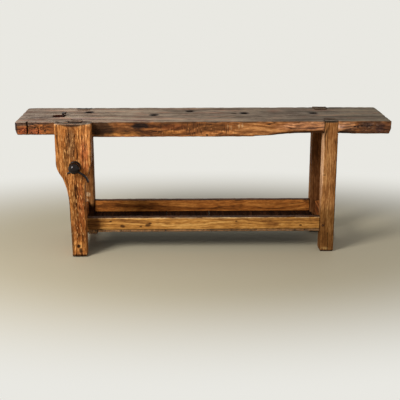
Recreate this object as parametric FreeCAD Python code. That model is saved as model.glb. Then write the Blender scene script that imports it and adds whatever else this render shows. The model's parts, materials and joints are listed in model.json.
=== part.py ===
"""Old workbench with a leg vise: one thick plank on four flush legs, four stretchers and a nailed shelf.

Millimetres. X runs along the bench, Z is up from the floor. The solids are laid out with Y = 0 on the
front face of the top, and moved together at the end so that Y = 0 lies midway between front and back.
"""
import FreeCAD, Part
import math
import os

from FreeCAD import Vector

# Plank top
top_length = 2200.0
top_width = 484.0
top_height = 805.0
middle_thickness = 91.0
left_thickness = 77.0
right_thickness = 77.0
left_land_reach = 32.0
left_slope_run = 17.0
right_land_reach = 150.0
right_slope_run = 280.0
end_face_height = 46.0
left_end_undercut = 10.0
right_end_undercut = 11.0
wane_run = 210.0
wane_rise_run = 140.0
wane_height = 21.0
wane_depth = 30.0
end_wane_run = 105.0
end_wane_height = 22.0
end_wane_depth = 26.0
wane_tip = 1.5

# Holdfast holes, as shares of half the length from the middle and of the width from the front
hole_radius = 18.0
hole_place_shares = [(-0.636, 0.671), (-0.271, 0.467), (-0.071, 0.715), (0.230, 0.568), (0.616, 0.558)]

# Legs and their joints through the top
end_overhang = 309.0
leg_depth = 100.0
front_left_leg_width = 81.0
front_right_leg_width = 86.0
rear_left_leg_width = 95.0
rear_right_leg_width = 95.0
leg_arris = 4.0
dovetail_depth = 50.0
dovetail_flare = 4.5
top_tenon_web = 16.0
top_tenon_shoulder = 8.0
top_tenon_inset = 11.0
rear_right_proud = 5.0

# Stretchers, end rails and their draw pegs
stretcher_top = 215.0
stretcher_height = 77.0
stretcher_thickness = 50.0
front_stretcher_setback = 21.0
rear_stretcher_setback = 34.0
stretcher_arris = 3.0
rail_thickness = 45.0
tenon_thickness = 24.0
tenon_shoulder = 8.0
stretcher_tenon_length = 52.0
mortise_web = 5.0
peg_radius = 6.0
peg_tip = 12.0
stretcher_peg_inset = 15.0
stretcher_peg_share = 0.36
rail_peg_share = 0.68

# Shelf boards across the underside of the stretchers, as shares of the shelf's length
board_thickness = 14.0
board_gap = 0.6
board_front_inset = 1.5
board_leg_clearance = 1.0
board_edge_shares = [0.0475, 0.151, 0.339, 0.532, 0.730, 0.937, 1.0]
batten_thickness = 26.0
batten_start_share = 0.009
nail_shank = 4.0
nail_grip = 34.0
nail_head = 10.0
nail_head_height = 2.5
nail_side_shares = (0.28, 0.72)

# Leg vise: chop
vise_drop = 249.0
chop_thickness = 76.0
chop_gap = 1.0
chop_top_rise = 6.0
chop_dish = 8.0
chop_left_reach = 112.5
chop_right_reach = 101.5
chop_right_taper_reach = 95.5
chop_foot_left = 35.5
chop_foot_right = 52.5
chop_waist_left = 45.5
chop_waist_drop = 203.0
chop_taper_rise = 22.0
chop_taper_drop = 88.0
chop_taper_reach = 61.5
chop_shank_drop = 136.0
chop_floor_gap = 3.0
ogee_shares = [(0.20, 0.16), (0.52, 0.335), (0.85, 0.67)]
taper_turn_shares = (0.88, 0.52)

# Leg vise: screw, handle, collar and nut
screw_radius = 16.0
screw_rear_gap = 54.0
screw_tail = 20.0
screw_tip_chamfer = 3.0
chop_bore_clearance = 1.0
leg_bore_clearance = 2.0
nut_bore_clearance = 0.5
running_gap = 0.3
washer_radius = 35.0
washer_thickness = 5.0
collar_radius = 29.0
collar_thickness = 6.0
ball_radius = 34.0
ball_offset = 28.0
bar_radius = 7.5
bar_fit = 0.1
bar_tip_length = 6.0
bar_tip_share = 0.6
handle_drop = 20.0
handle_bend_radius = 80.0
handle_lean_deg = 90.0
handle_tail_deg = 27.0
handle_reach_deg = 75.0
keeper_radius = 30.0
keeper_length = 10.0
keeper_fit = 0.05
keeper_side_clearance = 1.5
keeper_pin_side = 6.0
nut_plate_height = 130.0
nut_plate_width = 78.0
nut_plate_thickness = 10.0
nut_boss_radius = 30.0
nut_boss_length = 40.0
nut_screw_radius = 4.0
nut_screw_length = 42.0
nut_screw_inset = 13.0
nut_screw_head = 14.0
nut_screw_head_height = 6.0

# Leg vise: guide bar at the chop's foot, its peg and its stop pin
guide_thickness = 24.0
guide_height = 60.0
guide_floor_gap = 35.0
guide_clearance = 2.0
guide_tenon_depth = 55.0
guide_tail = 70.0
guide_hole_pitch = 50.0
guide_first_gap = 60.0
guide_pin_radius = 6.0
guide_pin_clearance = 0.4
guide_pin_end_gap = 24.0
guide_pin_tip = 3.0
guide_pin_reach = 44.0
guide_pin_head_radius = 11.0
guide_pin_head_length = 12.0
guide_peg_radius = 5.0
guide_peg_length = 72.0

# Planing stop and its iron claw
stop_width = 68.0
stop_depth = 70.0
stop_length = 94.0
stop_leg_gap = 45.0
stop_setback = 172.0
stop_clearance = 0.6
claw_tang = 12.0
claw_tang_depth = 70.0
claw_inset = 12.0
claw_stem = 8.0
claw_head_depth = 36.0
claw_head_width = 27.0
claw_head_height = 10.0
claw_tooth = 9.0
claw_teeth = 4
claw_corner_gap = 4.0

overrun = 5.0

os.makedirs("parts", exist_ok=True)

# Places worked out from the sizes above
half_length = top_length / 2
left_outer = -half_length + end_overhang
right_outer = half_length - end_overhang
left_inner = left_outer + front_left_leg_width
right_inner = right_outer - front_right_leg_width
rear_left_inner = left_outer + rear_left_leg_width
rear_right_inner = right_outer - rear_right_leg_width
rear_face = top_width - leg_depth
left_land_z = top_height - left_thickness
right_land_z = top_height - right_thickness
stretcher_bottom = stretcher_top - stretcher_height
front_stretcher_y = front_stretcher_setback
rear_stretcher_y = top_width - rear_stretcher_setback - stretcher_thickness
front_tenon_y = front_stretcher_y + (stretcher_thickness - tenon_thickness) / 2
rear_tenon_y = rear_stretcher_y + (stretcher_thickness - tenon_thickness) / 2
tenon_low = stretcher_bottom + tenon_shoulder
tenon_high = stretcher_top - tenon_shoulder
vise_x = left_outer + front_left_leg_width / 2
vise_height = top_height - vise_drop
chop_back = -chop_gap
chop_front = chop_back - chop_thickness
washer_front = chop_front - washer_thickness
collar_back = washer_front - running_gap
collar_front = collar_back - collar_thickness
ball_y = collar_front - ball_offset
front_reach = ball_y - ball_radius
nut_back = leg_depth + nut_plate_thickness + nut_boss_length
screw_end = rear_face - screw_rear_gap
vise_travel = screw_end - screw_tail - nut_back
guide_end = leg_depth + vise_travel + guide_tail
middle_y = (front_reach + top_width) / 2


def block(x0, x1, y0, y1, z0, z1):
    """A box between two corners."""
    return Part.makeBox(x1 - x0, y1 - y0, z1 - z0, Vector(x0, y0, z0))


def rod(start, direction, radius, length):
    """A plain round bar."""
    return Part.makeCylinder(radius, length, start, direction)


def octagon(centre, side, up, radius):
    """The corners of an octagon about a centre, in the plane of two directions."""
    corners = []
    for corner in range(8):
        angle = math.radians(22.5 + 45 * corner)
        corners.append(centre + side * (radius * math.cos(angle)) + up * (radius * math.sin(angle)))
    return corners


def riven(start, direction, radius, length):
    """A level eight-sided bar, as pegs and forged shanks are cut."""
    up = Vector(0, 0, 1)
    return prism(octagon(start, direction.cross(up), up, radius), direction * length)


def lines(points):
    """Edges through the points, left open."""
    return [Part.makeLine(a, b) for a, b in zip(points, points[1:])]


def prism(points, direction):
    """A closed outline pushed along one direction."""
    return Part.Face(Part.makePolygon(points + points[:1])).extrude(direction)


def arc(a, b, c):
    """An arc from a through b to c."""
    return Part.Arc(a, b, c).toShape()


def put(node, shape):
    """Write one sub-part, moved so that the bench stands centred on the origin."""
    placed = shape.copy()
    placed.translate(Vector(0, -middle_y, 0))
    placed.exportStep("parts/" + node + ".step")


# Leg joints: an open dovetail flush with the top's edge, and a tenon behind it
def top_joint(x0, x1, edge_y, inward, z0, z1):
    flare = dovetail_flare
    back_y = edge_y + inward * dovetail_depth
    dovetail = prism(
        [
            Vector(x0 + flare, edge_y, z0),
            Vector(x1 - flare, edge_y, z0),
            Vector(x1, back_y, z0),
            Vector(x0, back_y, z0),
        ],
        Vector(0, 0, z1 - z0),
    )
    tenon_outer = edge_y + inward * (leg_depth - top_tenon_shoulder)
    tenon_inner = edge_y + inward * (dovetail_depth + top_tenon_web)
    low_y = min(tenon_outer, tenon_inner)
    high_y = max(tenon_outer, tenon_inner)
    tenon = block(x0 + top_tenon_inset, x1 - top_tenon_inset, low_y, high_y, z0, z1)
    return dovetail, tenon


def leg_blank(x0, x1, edge_y, inward, land_z, proud):
    """A square post with eased arrises and its two joints up through the top."""
    low_y = min(edge_y, edge_y + inward * leg_depth)
    post = block(x0, x1, low_y, low_y + leg_depth, 0, land_z)
    post = post.makeChamfer(leg_arris, [e for e in post.Edges if e.BoundBox.ZMin < leg_arris])
    dovetail, tenon = top_joint(x0, x1, edge_y, inward, land_z, top_height + proud)
    return post.fuse([dovetail, tenon]).removeSplitter()


legs = {
    "front_left_leg": (left_outer, left_inner, 0, 1, left_land_z, 0),
    "front_right_leg": (right_inner, right_outer, 0, 1, right_land_z, 0),
    "rear_left_leg": (left_outer, rear_left_inner, top_width, -1, left_land_z, 0),
    "rear_right_leg": (rear_right_inner, right_outer, top_width, -1, right_land_z, rear_right_proud),
}


# Plank top: thickest in the middle, with worn lower corners and a wane along the right lower edge
def wane(x0, x1, height0, height1, depth0, depth1, underside0, underside1):
    """A wedge that takes the lower front edge off between two places."""
    sections = []
    for x, height, depth, underside in ((x0, height0, depth0, underside0), (x1, height1, depth1, underside1)):
        slope = depth / height
        corner = [
            Vector(x, -overrun, underside + height + overrun / slope),
            Vector(x, -overrun, underside - overrun),
            Vector(x, depth + overrun * slope, underside - overrun),
        ]
        sections.append(Part.makePolygon(corner + corner[:1]))
    return Part.makeLoft(sections, True, True)


def make_top():
    right_land_x = right_inner - right_land_reach
    right_slope_x = right_land_x - right_slope_run
    left_land_x = left_inner + left_land_reach
    left_slope_x = left_land_x + left_slope_run
    middle_z = top_height - middle_thickness
    shoulder_z = top_height - end_face_height
    outline = [
        (-half_length, top_height),
        (half_length, top_height),
        (half_length, shoulder_z),
        (half_length - right_end_undercut, right_land_z),
        (right_land_x, right_land_z),
        (right_slope_x, middle_z),
        (left_slope_x, middle_z),
        (left_land_x, left_land_z),
        (-half_length + left_end_undercut, left_land_z),
        (-half_length, shoulder_z),
    ]
    plank = prism([Vector(x, 0, z) for x, z in outline], Vector(0, top_width, 0))
    wane_x = right_inner - wane_run
    rise_x = wane_x - wane_rise_run

    def underside(x):
        slope_share = (x - right_slope_x) / right_slope_run
        return middle_z + min(max(slope_share, 0), 1) * (right_land_z - middle_z)

    cuts = [
        wane(rise_x, wane_x, wane_tip, wane_height, wane_tip, wane_depth, underside(rise_x), underside(wane_x)),
        wane(
            wane_x,
            right_inner,
            wane_height,
            wane_height,
            wane_depth,
            wane_depth,
            underside(wane_x),
            right_land_z,
        ),
        wane(
            right_outer,
            right_outer + end_wane_run,
            end_wane_height,
            wane_tip,
            end_wane_depth,
            wane_tip,
            right_land_z,
            right_land_z,
        ),
    ]
    for x_share, y_share in hole_place_shares:
        start = Vector(x_share * half_length, y_share * top_width, top_height - middle_thickness - overrun)
        cuts.append(rod(start, Vector(0, 0, 1), hole_radius, middle_thickness + overrun * 2))
    for x0, x1, edge_y, inward, land_z, proud in legs.values():
        cuts.extend(top_joint(x0, x1, edge_y, inward, land_z - overrun, top_height + overrun))
    stop_x1 = left_outer - stop_leg_gap + stop_clearance
    stop_x0 = stop_x1 - stop_width - 2 * stop_clearance
    stop_y0 = stop_setback - stop_clearance
    stop_y1 = stop_setback + stop_depth + stop_clearance
    cuts.append(block(stop_x0, stop_x1, stop_y0, stop_y1, left_land_z - overrun, top_height + overrun))
    return plank.cut(cuts)


put("bench_top", make_top())


# Stretchers along the bench and rails across its ends, all tenoned into the legs
def stretcher(x0, x1, y, tenon_y):
    beam = block(x0, x1, y, y + stretcher_thickness, stretcher_bottom, stretcher_top)
    beam = beam.makeChamfer(stretcher_arris, [e for e in beam.Edges if e.BoundBox.XLength > stretcher_thickness])
    tenon_x0 = x0 - stretcher_tenon_length
    tenon_x1 = x1 + stretcher_tenon_length
    tenon = block(tenon_x0, tenon_x1, tenon_y, tenon_y + tenon_thickness, tenon_low, tenon_high)
    return beam.fuse(tenon).removeSplitter()


def rail(centre_x):
    half = rail_thickness / 2
    beam = block(centre_x - half, centre_x + half, leg_depth, rear_face, stretcher_bottom, stretcher_top)
    beam = beam.makeChamfer(stretcher_arris, [e for e in beam.Edges if e.BoundBox.YLength > rail_thickness])
    half_tenon = tenon_thickness / 2
    tenon_y0 = front_tenon_y + tenon_thickness + mortise_web
    tenon_y1 = rear_tenon_y - mortise_web
    tenon = block(centre_x - half_tenon, centre_x + half_tenon, tenon_y0, tenon_y1, tenon_low, tenon_high)
    return beam.fuse(tenon).removeSplitter()


rails = {
    "front_stretcher": stretcher(left_inner, right_inner, front_stretcher_y, front_tenon_y),
    "rear_stretcher": stretcher(rear_left_inner, rear_right_inner, rear_stretcher_y, rear_tenon_y),
    "left_end_rail": rail(left_outer + front_left_leg_width / 2),
    "right_end_rail": rail(right_outer - front_right_leg_width / 2),
}


# Draw pegs: one through each tenon, driven from the outside face of the leg and ending blind
def make_pegs():
    stretcher_z = stretcher_bottom + stretcher_peg_share * stretcher_height
    rail_z = stretcher_bottom + rail_peg_share * stretcher_height
    pegs = []
    front_length = front_tenon_y + tenon_thickness + peg_tip
    for x in (left_inner - stretcher_peg_inset, right_inner + stretcher_peg_inset):
        pegs.append(riven(Vector(x, 0, stretcher_z), Vector(0, 1, 0), peg_radius, front_length))
    rear_length = top_width - rear_tenon_y + peg_tip
    for x in (rear_left_inner - stretcher_peg_inset, rear_right_inner + stretcher_peg_inset):
        pegs.append(riven(Vector(x, top_width, stretcher_z), Vector(0, -1, 0), peg_radius, rear_length))
    left_length = (front_left_leg_width + tenon_thickness) / 2 + peg_tip
    right_length = (front_right_leg_width + tenon_thickness) / 2 + peg_tip
    front_y = (front_tenon_y + tenon_thickness + mortise_web + leg_depth) / 2
    rear_y = (rear_tenon_y - mortise_web + rear_face) / 2
    for y in (front_y, rear_y):
        pegs.append(riven(Vector(left_outer, y, rail_z), Vector(1, 0, 0), peg_radius, left_length))
        pegs.append(riven(Vector(right_outer, y, rail_z), Vector(-1, 0, 0), peg_radius, right_length))
    return pegs


pegs = make_pegs()
put("stretcher_pegs", Part.makeCompound(pegs))


# Shelf: thin boards across the stretchers, a thicker batten at the left, all held by square cut nails
def make_shelf():
    """Every board with the places of its nails, the batten first."""
    run = right_inner - left_inner
    front_y = front_stretcher_y + board_front_inset
    back_y = rear_stretcher_y + stretcher_thickness
    nail_front = front_stretcher_y + stretcher_thickness / 2
    nail_back = rear_stretcher_y + stretcher_thickness / 2
    clearance = board_leg_clearance
    leg_room = []
    for x0, x1 in ((left_outer, rear_left_inner), (rear_right_inner, right_outer)):
        leg_room.append(
            block(x0 - clearance, x1 + clearance, rear_face - clearance, top_width, 0, stretcher_top)
        )
    spans = [("shelf_batten", batten_start_share, board_edge_shares[0], batten_thickness, (0.5,))]
    for number, (start, end) in enumerate(zip(board_edge_shares, board_edge_shares[1:]), 1):
        spans.append(("shelf_board_%d" % number, start, end, board_thickness, nail_side_shares))
    shelf = []
    for name, start, end, thickness, side_shares in spans:
        x0 = left_inner + start * run + board_gap / 2
        x1 = left_inner + end * run - board_gap / 2
        board = block(x0, x1, front_y, back_y, stretcher_bottom - thickness, stretcher_bottom).cut(leg_room)
        places = []
        for share in side_shares:
            for y in (nail_front, nail_back):
                places.append(Vector(x0 + share * (x1 - x0), y, stretcher_bottom - thickness))
        shelf.append((name, board, thickness, places))
    return shelf


def nail(place, thickness):
    """A square nail driven up, its head under the board."""
    half = nail_shank / 2
    half_head = nail_head / 2
    shank_top = place.z + thickness + nail_grip
    shank = block(place.x - half, place.x + half, place.y - half, place.y + half, place.z, shank_top)
    head_bottom = place.z - nail_head_height
    head = block(
        place.x - half_head, place.x + half_head, place.y - half_head, place.y + half_head, head_bottom, place.z
    )
    return shank.fuse(head).removeSplitter()


nails = []
for name, board, thickness, places in make_shelf():
    board_nails = [nail(place, thickness) for place in places]
    put(name, board.cut(board_nails))
    nails.extend(board_nails)
put("shelf_nails", Part.makeCompound(nails))

for name, shape in rails.items():
    put(name, shape.cut(pegs + nails))


# Leg vise chop: a broad jaw that swings in through an ogee to a narrow shank on the floor
def chop_point(reach, z):
    return Vector(vise_x + reach, chop_front, z)


def make_chop_blank():
    top_z = top_height + chop_top_rise
    ogee_width = chop_left_reach - chop_waist_left
    ogee = [
        chop_point(-chop_left_reach + x_share * ogee_width, vise_height - z_share * chop_waist_drop)
        for x_share, z_share in ogee_shares
    ]
    corner = chop_point(-chop_left_reach, vise_height)
    waist = chop_point(-chop_waist_left, vise_height - chop_waist_drop)
    taper_end = chop_point(chop_taper_reach, vise_height - chop_taper_drop)
    shank = chop_point(chop_foot_right, vise_height - chop_shank_drop)
    turn_x_share, turn_z_share = taper_turn_shares
    turn = chop_point(
        chop_taper_reach - turn_x_share * (chop_taper_reach - chop_foot_right),
        vise_height - chop_taper_drop - turn_z_share * (chop_shank_drop - chop_taper_drop),
    )
    top_left = chop_point(-chop_left_reach, top_z)
    top_right = chop_point(chop_right_reach, top_z)
    dish = chop_point((chop_right_reach - chop_left_reach) / 2, top_z - chop_dish)
    edges = [arc(top_right, dish, top_left)]
    edges += lines([top_left, corner])
    edges += [arc(corner, ogee[0], ogee[1]), arc(ogee[1], ogee[2], waist)]
    edges += lines([
        waist,
        chop_point(-chop_foot_left, chop_floor_gap),
        chop_point(chop_foot_right, chop_floor_gap),
        shank,
    ])
    edges += [arc(shank, turn, taper_end)]
    edges += lines([taper_end, chop_point(chop_right_taper_reach, vise_height + chop_taper_rise), top_right])
    return Part.Face(Part.Wire(edges)).extrude(Vector(0, chop_thickness, 0))


def on_screw(y):
    """A place on the screw's axis."""
    return Vector(vise_x, y, vise_height)


along = Vector(0, 1, 0)

# Guide bar: tenoned into the back of the chop's foot, it slides through the leg
guide_low = guide_floor_gap
guide_high = guide_floor_gap + guide_height
guide_left = vise_x - guide_thickness / 2
guide_right = vise_x + guide_thickness / 2
guide_tenon_front = chop_back - guide_tenon_depth
guide_middle = (guide_low + guide_high) / 2
pin_y = guide_end - guide_pin_end_gap

guide = block(guide_left, guide_right, guide_tenon_front, guide_end, guide_low, guide_high)
guide_peg = riven(
    Vector(vise_x + chop_foot_right, chop_back - guide_tenon_depth / 2, guide_middle),
    Vector(-1, 0, 0),
    guide_peg_radius,
    guide_peg_length,
)
guide_hole_count = int((pin_y - guide_first_gap) / guide_hole_pitch) + 1
guide_holes = []
for number in range(guide_hole_count):
    hole_place = Vector(guide_left - overrun, pin_y - number * guide_hole_pitch, guide_middle)
    hole_length = guide_thickness + overrun * 2
    guide_holes.append(rod(hole_place, Vector(1, 0, 0), guide_pin_radius + guide_pin_clearance, hole_length))
put("parallel_guide", guide.cut(guide_holes + [guide_peg]))
put("guide_tenon_peg", guide_peg)

# Stop pin: a whittled peg with a knob, pushed through the guide's last hole
pin_knob_x = guide_left - guide_pin_reach
pin_length = guide_right + guide_pin_tip - pin_knob_x
pin = riven(Vector(pin_knob_x, pin_y, guide_middle), Vector(1, 0, 0), guide_pin_radius, pin_length)
knob_start = Vector(pin_knob_x - guide_pin_head_length, pin_y, guide_middle)
knob = riven(knob_start, Vector(1, 0, 0), guide_pin_head_radius, guide_pin_head_length)
put("guide_pin", pin.fuse(knob).removeSplitter())

# Chop with its screw bore, the pocket for the keeper ring and the guide's mortise
pocket_radius = keeper_radius + keeper_side_clearance
pocket_depth = keeper_length + running_gap * 2
chop_cuts = [
    rod(on_screw(chop_front - overrun), along, screw_radius + chop_bore_clearance, chop_thickness + overrun * 2),
    rod(on_screw(chop_back - pocket_depth), along, pocket_radius, pocket_depth + overrun),
    guide,
    guide_peg,
]
put("vise_chop", make_chop_blank().cut(chop_cuts))

washer = rod(on_screw(washer_front), along, washer_radius, washer_thickness)
washer_bore = rod(on_screw(washer_front - overrun), along, screw_radius + chop_bore_clearance,
                  washer_thickness + overrun * 2)
put("vise_washer", washer.cut(washer_bore))


# Screw: one forging, with a ball and a collar in front and a long shaft behind
def make_screw():
    def at(y, radius):
        return Vector(vise_x + radius, y, vise_height)

    ball_foot_radius = math.sqrt(ball_radius**2 - ball_offset**2)
    edges = [arc(at(front_reach, 0), at(ball_y, ball_radius), at(collar_front, ball_foot_radius))]
    edges += lines([
        at(collar_front, ball_foot_radius),
        at(collar_front, collar_radius),
        at(collar_back, collar_radius),
        at(collar_back, screw_radius),
        at(screw_end - screw_tip_chamfer, screw_radius),
        at(screw_end, screw_radius - screw_tip_chamfer),
        at(screw_end, 0),
        at(front_reach, 0),
    ])
    return Part.Face(Part.Wire(edges)).revolve(on_screw(0), along, 360)


def bent_bar(radius):
    """The sickle-shaped lever: an eight-sided bar bent to one arc through the ball, with tapered tips."""
    lean = math.radians(handle_lean_deg)
    through = on_screw(ball_y) - Vector(0, 0, handle_drop)
    centre = through + Vector(math.cos(lean), 0, -math.sin(lean)) * handle_bend_radius
    ball_deg = 180 - handle_lean_deg

    def section(turn_deg, size, beyond):
        """The bar's outline at a turn of the bend, or straight past it."""
        turn = math.radians(turn_deg)
        outward = Vector(math.cos(turn), 0, math.sin(turn))
        tangent = Vector(-math.sin(turn), 0, math.cos(turn))
        corners = octagon(centre + outward * handle_bend_radius + tangent * beyond, outward, along, size)
        return Part.makePolygon(corners + corners[:1])

    start_deg = ball_deg + handle_tail_deg
    finish_deg = ball_deg - handle_reach_deg
    bar = Part.Face(section(start_deg, radius, 0)).revolve(centre, along, start_deg - finish_deg)
    tip_radius = radius * bar_tip_share
    tips = []
    for turn_deg, beyond in ((start_deg, bar_tip_length), (finish_deg, -bar_tip_length)):
        outlines = [section(turn_deg, radius, 0), section(turn_deg, tip_radius, beyond)]
        tips.append(Part.makeLoft(outlines, True, True))
    return bar.fuse(tips).removeSplitter()


put("vise_handle", bent_bar(bar_radius))

keeper_front = chop_back - running_gap - keeper_length
keeper = riven(on_screw(keeper_front), along, keeper_radius, keeper_length)
keeper_bore = rod(on_screw(keeper_front - overrun), along, screw_radius + keeper_fit, keeper_length + overrun * 2)
half_pin = keeper_pin_side / 2
keeper_middle = keeper_front + keeper_length / 2
keeper_pin = block(
    vise_x - half_pin,
    vise_x + half_pin,
    keeper_middle - half_pin,
    keeper_middle + half_pin,
    vise_height - keeper_radius,
    vise_height + keeper_radius,
)
put("keeper_ring", keeper.cut([keeper_bore, keeper_pin]))
put("keeper_pin", keeper_pin)
put("vise_screw", make_screw().cut([bent_bar(bar_radius + bar_fit), keeper_pin]))


# Nut: a flanged iron block screwed to the back of the front left leg
def make_nut():
    half_width = nut_plate_width / 2
    half_height = nut_plate_height / 2
    plate_back = leg_depth + nut_plate_thickness
    plate = block(
        vise_x - half_width,
        vise_x + half_width,
        leg_depth,
        plate_back,
        vise_height - half_height,
        vise_height + half_height,
    )
    boss = rod(on_screw(plate_back), along, nut_boss_radius, nut_boss_length)
    screws = []
    head = nut_screw_head / 2
    for side in (-1, 1):
        for level in (-1, 1):
            x = vise_x + side * (half_width - nut_screw_inset)
            z = vise_height + level * (half_height - nut_screw_inset)
            shank = riven(Vector(x, plate_back - nut_screw_length, z), along, nut_screw_radius, nut_screw_length)
            cap = block(x - head, x + head, plate_back, plate_back + nut_screw_head_height, z - head, z + head)
            screws.append(shank.fuse(cap).removeSplitter())
    bore = rod(on_screw(0), along, screw_radius + nut_bore_clearance, nut_back + overrun)
    return plate.fuse(boss).cut(screws + [bore]).removeSplitter(), screws


nut, nut_screws = make_nut()
put("vise_nut", nut)
put("nut_screws", Part.makeCompound(nut_screws))

# Legs, mortised for the rails and pegs, the front left one also for the vise
guide_room = block(
    guide_left - guide_clearance,
    guide_right + guide_clearance,
    -overrun,
    leg_depth + overrun,
    guide_low - guide_clearance,
    guide_high + guide_clearance,
)
screw_room = rod(on_screw(-overrun), along, screw_radius + leg_bore_clearance, leg_depth + overrun * 2)
for name, sizes in legs.items():
    leg_cuts = list(rails.values()) + pegs
    if name == "front_left_leg":
        leg_cuts += [guide_room, screw_room] + nut_screws
    put(name, leg_blank(*sizes).cut(leg_cuts))


# Planing stop: a square block that slides up through the top, with a toothed iron claw
def make_claw(stop_x1, stop_y1):
    half = claw_tang / 2
    tang_x = stop_x1 - claw_inset
    tang_y = stop_y1 - claw_corner_gap - claw_head_depth / 2
    head_z = top_height + claw_stem
    tang = block(
        tang_x - half, tang_x + half, tang_y - half, tang_y + half, top_height - claw_tang_depth, head_z
    )
    head_x0 = tang_x - half
    head_x1 = head_x0 + claw_head_width
    head_y0 = tang_y - claw_head_depth / 2
    pitch = claw_head_depth / claw_teeth
    outline = [(head_x0, head_y0 + claw_head_depth), (head_x0, head_y0)]
    for tooth in range(claw_teeth):
        outline.append((head_x1 - claw_tooth, head_y0 + tooth * pitch))
        outline.append((head_x1, head_y0 + (tooth + 0.5) * pitch))
    outline.append((head_x1 - claw_tooth, head_y0 + claw_head_depth))
    head = prism([Vector(x, y, head_z) for x, y in outline], Vector(0, 0, claw_head_height))
    return tang.fuse(head).removeSplitter()


stop_x1 = left_outer - stop_leg_gap
stop_y1 = stop_setback + stop_depth
stop = block(stop_x1 - stop_width, stop_x1, stop_setback, stop_y1, top_height - stop_length, top_height)
claw = make_claw(stop_x1, stop_y1)
put("planing_stop", stop.cut(claw))
put("planing_stop_claw", claw)
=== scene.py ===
import itertools
import json
import math
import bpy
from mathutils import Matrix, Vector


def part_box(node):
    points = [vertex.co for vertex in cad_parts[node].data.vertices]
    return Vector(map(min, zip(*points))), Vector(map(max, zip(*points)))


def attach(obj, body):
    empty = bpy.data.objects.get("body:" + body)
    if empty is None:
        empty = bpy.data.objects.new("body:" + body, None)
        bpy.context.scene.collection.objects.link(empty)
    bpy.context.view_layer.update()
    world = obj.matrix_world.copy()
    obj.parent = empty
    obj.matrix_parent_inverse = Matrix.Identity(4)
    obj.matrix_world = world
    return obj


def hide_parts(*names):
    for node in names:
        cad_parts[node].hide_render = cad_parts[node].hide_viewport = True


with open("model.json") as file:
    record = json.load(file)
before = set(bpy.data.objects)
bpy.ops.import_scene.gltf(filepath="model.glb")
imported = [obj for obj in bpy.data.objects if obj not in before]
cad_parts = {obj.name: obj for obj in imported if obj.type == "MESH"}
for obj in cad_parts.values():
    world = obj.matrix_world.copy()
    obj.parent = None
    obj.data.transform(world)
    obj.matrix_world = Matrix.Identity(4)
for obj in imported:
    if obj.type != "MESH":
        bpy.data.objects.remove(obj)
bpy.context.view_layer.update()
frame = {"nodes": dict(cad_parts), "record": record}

from types import SimpleNamespace

import bmesh
import bpy
import numpy as np
from mathutils import Vector
from mathutils.bvhtree import BVHTree


# Legs
# Four squared posts of old hardwood, cleaned with a hand plane. Their tops come up flush through the plank
# in an open dovetail and a tenon, and their feet are bruised and dirty from years on a hard floor.
legs = ("front_left_leg", "front_right_leg", "rear_left_leg", "rear_right_leg")
half_length = 1.1
along_x, along_y, along_z = range(3)
seed_gap = 7


def colour(shade):
    """A screen colour of 0 to 255 as the linear colour that a shader takes."""
    linear = [(c / 255 / 12.92 if c <= 10 else ((c / 255 + 0.055) / 1.055) ** 2.4) for c in shade]
    return (*linear, 1)


def new_object(name, data):
    """A new object in the scene."""
    made = bpy.data.objects.new(name, data)
    bpy.context.scene.collection.objects.link(made)
    return made


def even_copy(name, node, voxel):
    """A new object of a node's solid, remeshed to small even faces so that wear can be cut into it."""
    weld = 1e-5
    shape = bmesh.new()
    shape.from_mesh(frame["nodes"][node].data)
    bmesh.ops.remove_doubles(shape, verts=shape.verts, dist=weld)
    mesh = bpy.data.meshes.new(name)
    shape.to_mesh(mesh)
    shape.free()
    piece = new_object(name, mesh)
    remesh = piece.modifiers.new("even", "REMESH")
    remesh.mode = "VOXEL"
    remesh.voxel_size = voxel
    depsgraph = bpy.context.evaluated_depsgraph_get()
    even = bpy.data.meshes.new_from_object(piece.evaluated_get(depsgraph))
    piece.modifiers.clear()
    piece.data = even
    bpy.data.meshes.remove(mesh)
    even.name = name
    even.shade_smooth()
    return piece


def mesh_arrays(mesh):
    """A mesh's points and edges as arrays."""
    points = np.empty(len(mesh.vertices) * 3, np.float32)
    mesh.vertices.foreach_get("co", points)
    edges = np.empty(len(mesh.edges) * 2, np.int32)
    mesh.edges.foreach_get("vertices", edges)
    return points.reshape(-1, 3).astype(float), edges.reshape(-1, 2)


def set_points(mesh, points):
    """Moves a mesh's points and gives back their new normals."""
    mesh.vertices.foreach_set("co", points.astype(np.float32).ravel())
    mesh.update()
    normals = np.empty(len(mesh.vertices) * 3, np.float32)
    mesh.vertex_normals.foreach_get("vector", normals)
    return normals.reshape(-1, 3).astype(float)


def neighbour_mean(values, edges):
    """The mean of each point's neighbours, for a table with one row a point."""
    count = np.bincount(edges.ravel(), minlength=len(values))
    total = np.zeros_like(values)
    for here, there in ((0, 1), (1, 0)):
        for column in range(values.shape[1]):
            total[:, column] += np.bincount(edges[:, here], values[edges[:, there], column], len(values))
    return total / np.maximum(count, 1)[:, None]


def waves(points, wavelength, seed):
    """Smooth noise from 0 to 1 at many points, with one wavelength or one along each axis."""
    seed_step = 17.31
    axis_keys = np.array([73856093, 19349663, 83492791])
    stirs = ((15, 0x2C1B3C6D), (12, 0x297A2D39))
    word = 0xFFFFFFFF
    half_word = 0xFFFF
    scaled = points / np.array(wavelength) + seed * seed_step
    cell = np.floor(scaled).astype(np.int64)
    part = scaled - cell
    part = part * part * (3 - 2 * part)
    total = np.zeros(len(points))
    for corner in itertools.product((0, 1), repeat=3):
        key = (cell + corner) @ axis_keys & word
        for shift, factor in stirs:
            key = (key ^ (key >> shift)) * factor & word
        share = np.prod(np.where(corner, part, 1 - part), axis=1)
        total += share * (key >> 8 & half_word) / half_word
    return total


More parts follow.
